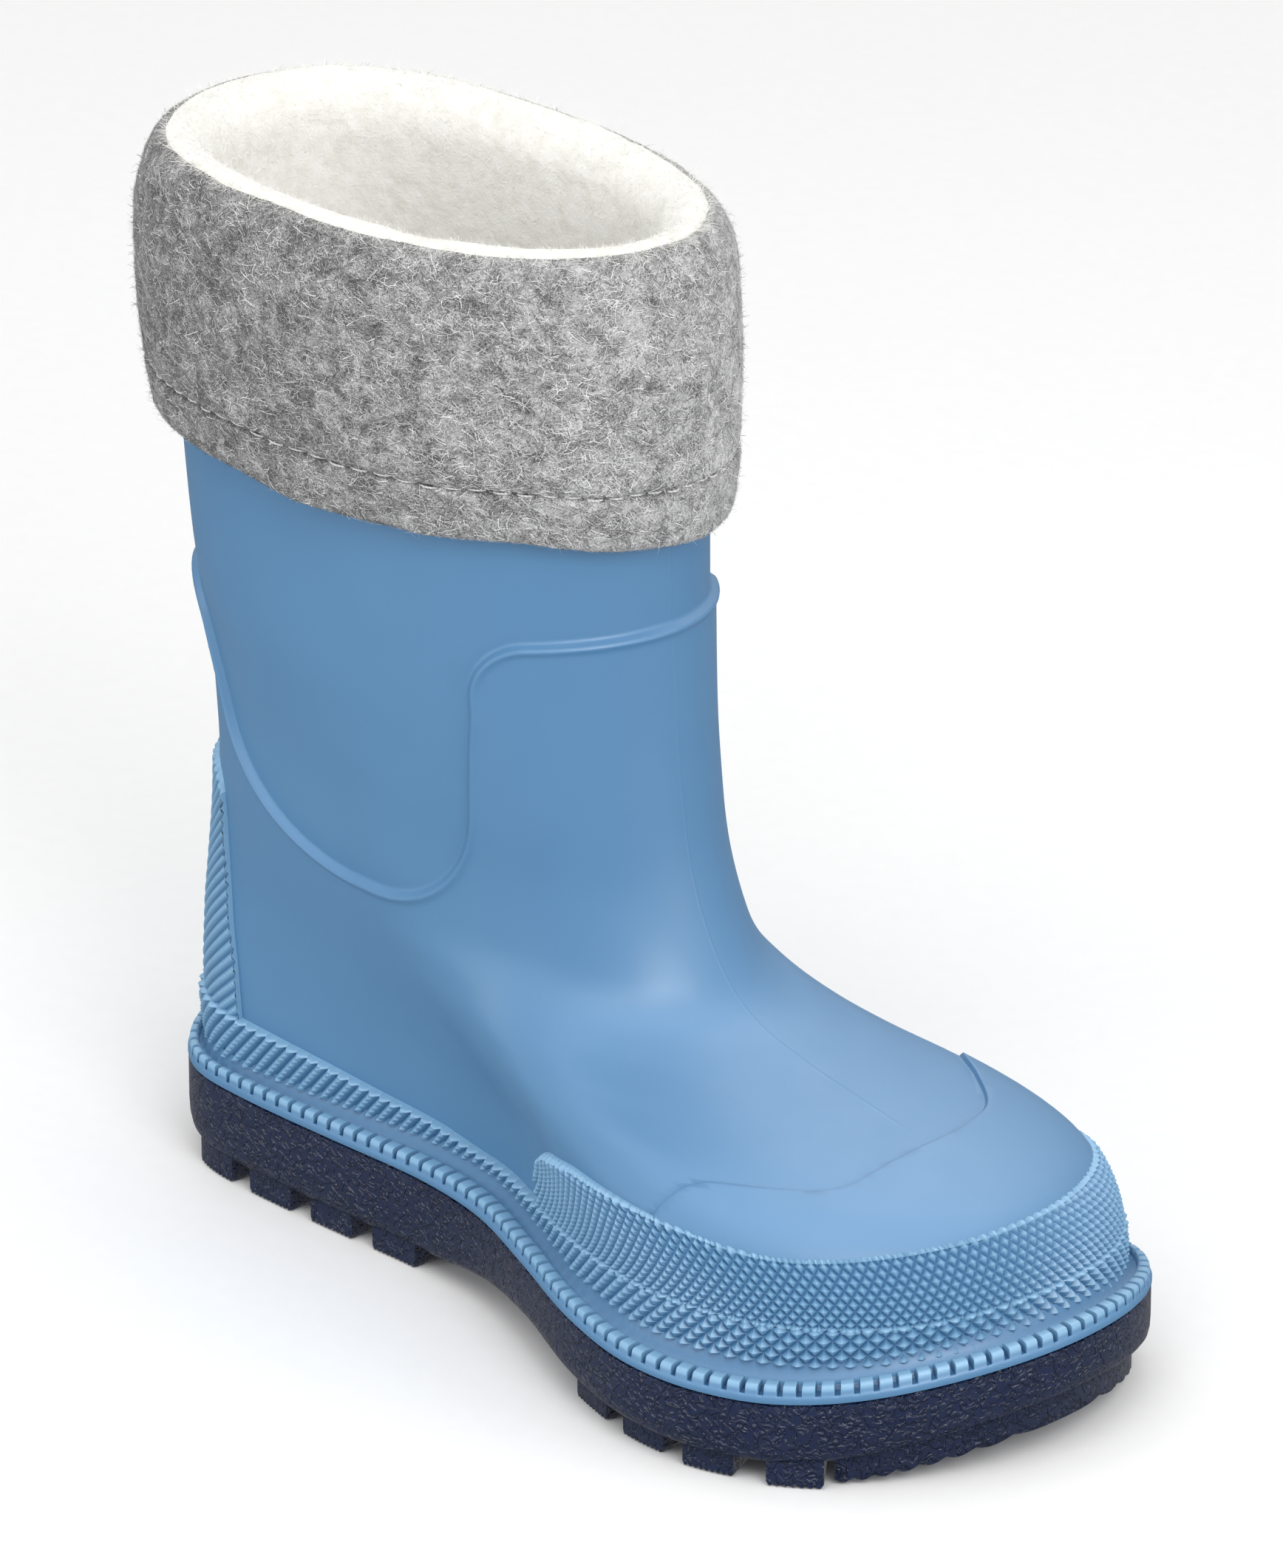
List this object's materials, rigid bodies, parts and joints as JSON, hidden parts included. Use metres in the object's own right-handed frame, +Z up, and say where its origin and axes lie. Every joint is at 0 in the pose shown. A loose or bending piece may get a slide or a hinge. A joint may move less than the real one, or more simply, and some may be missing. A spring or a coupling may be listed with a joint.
{
  "type": "child's lined rubber boot",
  "caption": "Short moulded rubber boot for a child with a lugged dark sole, toothed welt, knurled toe bumper, ribbed heel counter, fleece lining and a turned-down felt cuff.",
  "frame": {"origin": "on the floor under the middle of the boot's bounding box", "axes": "+X from heel to toe, +Y to the outer side of the left foot, +Z up"},
  "size_m": [0.2014, 0.0872, 0.188],
  "materials": {
    "boot_rubber": "satin",
    "sole_rubber": "matte grain",
    "insole_felt": "matte felt",
    "felt": "mottled wool felt",
    "fleece": "short pile"
  },
  "bodies": {
    "root": {"outsole": "sole_rubber", "welt": "boot_rubber", "upper": "boot_rubber", "insole": "insole_felt", "felt_cuff": "felt", "fleece_lining": "fleece"}
  },
  "joints": []
}
